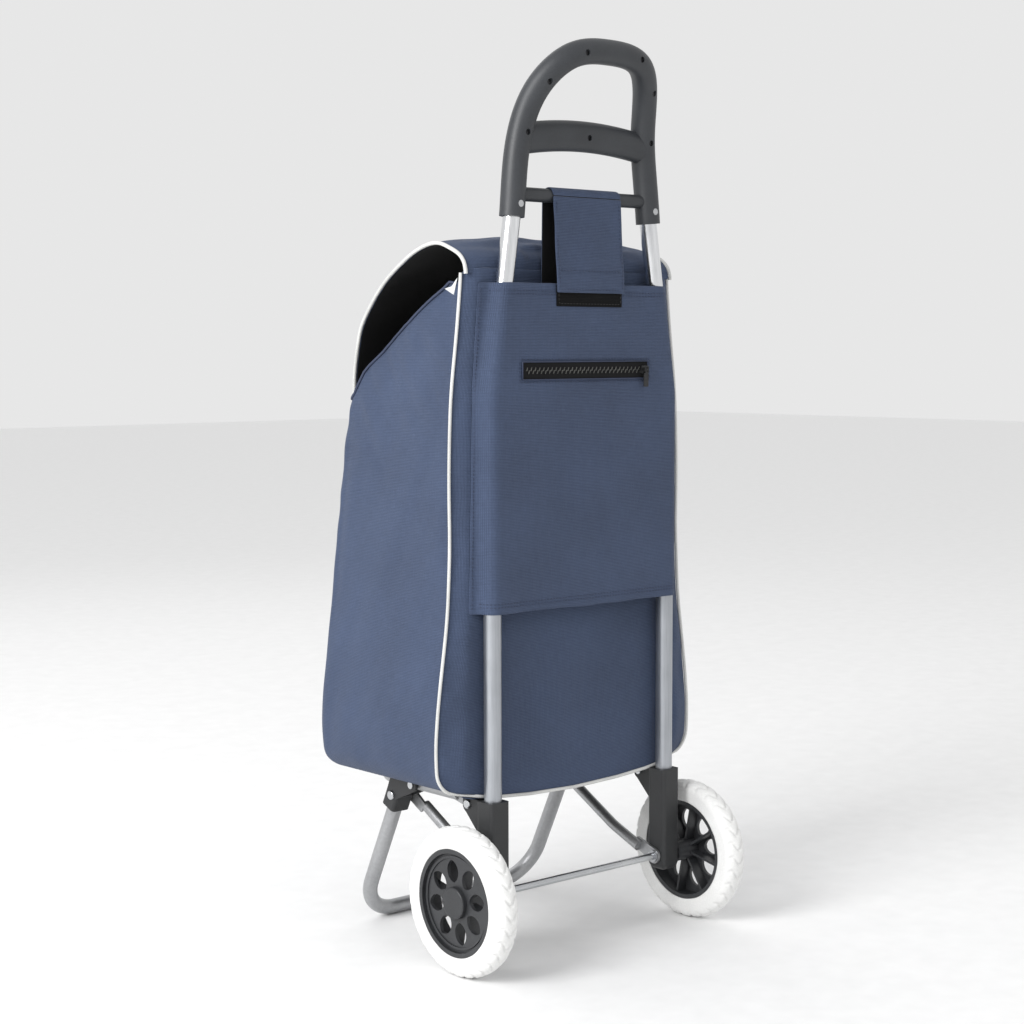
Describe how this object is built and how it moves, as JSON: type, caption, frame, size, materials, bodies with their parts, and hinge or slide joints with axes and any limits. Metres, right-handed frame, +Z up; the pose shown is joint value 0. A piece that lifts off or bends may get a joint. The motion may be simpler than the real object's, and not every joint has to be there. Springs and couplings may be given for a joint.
{
  "type": "shopping trolley",
  "caption": "Wheeled shopping trolley: a tall fabric bag with a lid on a tubular frame with a moulded loop handle, side wheels and a folding front stand.",
  "frame": {"origin": "on the floor, in the middle of the trolley's width and depth", "axes": "+Z up along the tubes, +X to the trolley's left side as the user behind it pulls it, -Y to the front of the bag and the stand"},
  "size_m": [0.376, 0.3235, 0.9845],
  "materials": {
    "tyre": "off-white foam rubber",
    "hub": "dark grey moulded plastic",
    "bracket": "black moulded plastic",
    "handle": "dark grey moulded plastic, fine grain",
    "lower_tube": "satin silver-grey paint",
    "upper_tube": "polished bright tube",
    "stand_tube": "silver-grey paint",
    "steel": "zinc-plated steel",
    "bag_fabric": "navy woven polyester",
    "lid_fabric": "navy woven polyester with black backing",
    "board": "black stiffening board",
    "zip": "black zip",
    "hook_loop": "black hook-and-loop"
  },
  "bodies": {
    "frame": {"wheel_bracket_left": "bracket", "wheel_bracket_right": "bracket", "handle_rear_shell": "handle", "handle_front_shell": "handle", "lower_tube_left": "lower_tube", "lower_tube_right": "lower_tube", "upper_tube_left": "upper_tube", "upper_tube_right": "upper_tube", "axle": "steel", "axle_washers": "steel", "axle_clips": "steel", "axle_push_nuts": "steel", "shelf_pivot_screws": "steel", "handle_screws": "steel", "socket_screws": "steel", "bag_body": "bag_fabric", "sleeve_panel": "bag_fabric", "strap_band": "lid_fabric", "zip_tape": "zip", "loop_patch": "hook_loop"},
    "wheel_left": {"tyre_left": "tyre", "hub_left": "hub", "hub_cap_left": "hub"},
    "wheel_right": {"tyre_right": "tyre", "hub_right": "hub", "hub_cap_right": "hub"},
    "shelf": {"shelf_frame": "stand_tube", "leg_pivot_pins": "steel", "bag_base": "bag_fabric", "base_board": "board"},
    "legs": {"foot_tube": "stand_tube", "leg_screws": "steel", "leg_block_left": "bracket", "leg_block_right": "bracket"},
    "strut_left": {"strut_left": "stand_tube", "strut_rivet_left": "steel"},
    "strut_right": {"strut_right": "stand_tube", "strut_rivet_right": "steel"},
    "lid": {"lid": "lid_fabric"},
    "strap_tab": {"strap_tab": "lid_fabric"},
    "zip_slider": {"zip_slider": "zip"},
    "zip_puller": {"zip_puller": "zip"}
  },
  "joints": [
    {"name": "wheel_left_spin", "type": "hinge", "parent": "frame", "child": "wheel_left", "pos_m": [0.1714, 0.08175, 0.08], "axis": [1, 0, 0], "continuous": true},
    {"name": "wheel_right_spin", "type": "hinge", "parent": "frame", "child": "wheel_right", "pos_m": [-0.1714, 0.08175, 0.08], "axis": [1, 0, 0], "continuous": true},
    {"name": "stand_fold", "type": "hinge", "parent": "frame", "child": "shelf", "pos_m": [0, 0.05175, 0.174], "axis": [-1, 0, 0], "range_deg": [0, 72]},
    {"name": "leg_fold", "type": "hinge", "parent": "shelf", "child": "legs", "pos_m": [0, -0.04325, 0.179], "axis": [1, 0, 0], "range_deg": [0, 97.7]},
    {"name": "strut_left_fold", "type": "hinge", "parent": "frame", "child": "strut_left", "pos_m": [0.1139, 0.08175, 0.08], "axis": [-1, 0, 0], "range_deg": [0, 35.7]},
    {"name": "strut_right_fold", "type": "hinge", "parent": "frame", "child": "strut_right", "pos_m": [-0.1139, 0.08175, 0.08], "axis": [-1, 0, 0], "range_deg": [0, 35.7]},
    {"name": "lid_open", "type": "hinge", "parent": "frame", "child": "lid", "pos_m": [0, 0.06375, 0.752], "axis": [-1, 0, 0], "range_deg": [0, 60]},
    {"name": "strap_release", "type": "hinge", "parent": "frame", "child": "strap_tab", "pos_m": [0, 0.09065, 0.82], "axis": [1, 0, 0], "range_deg": [0, 85]},
    {"name": "zip_slide", "type": "slide", "parent": "frame", "child": "zip_slider", "axis": [1, 0, 0], "range_m": [0, 0.16]},
    {"name": "zip_puller_swing", "type": "hinge", "parent": "zip_slider", "child": "zip_puller", "pos_m": [-0.081, 0.09935, 0.636], "axis": [1, 0, 0], "range_deg": [0, 150]}
  ],
  "couplings": [
    {"joint": "leg_fold", "follows": "stand_fold", "ratio": 1.35},
    {"joint": "strut_left_fold", "follows": "stand_fold", "ratio": 0.489},
    {"joint": "strut_right_fold", "follows": "stand_fold", "ratio": 0.489}
  ]
}
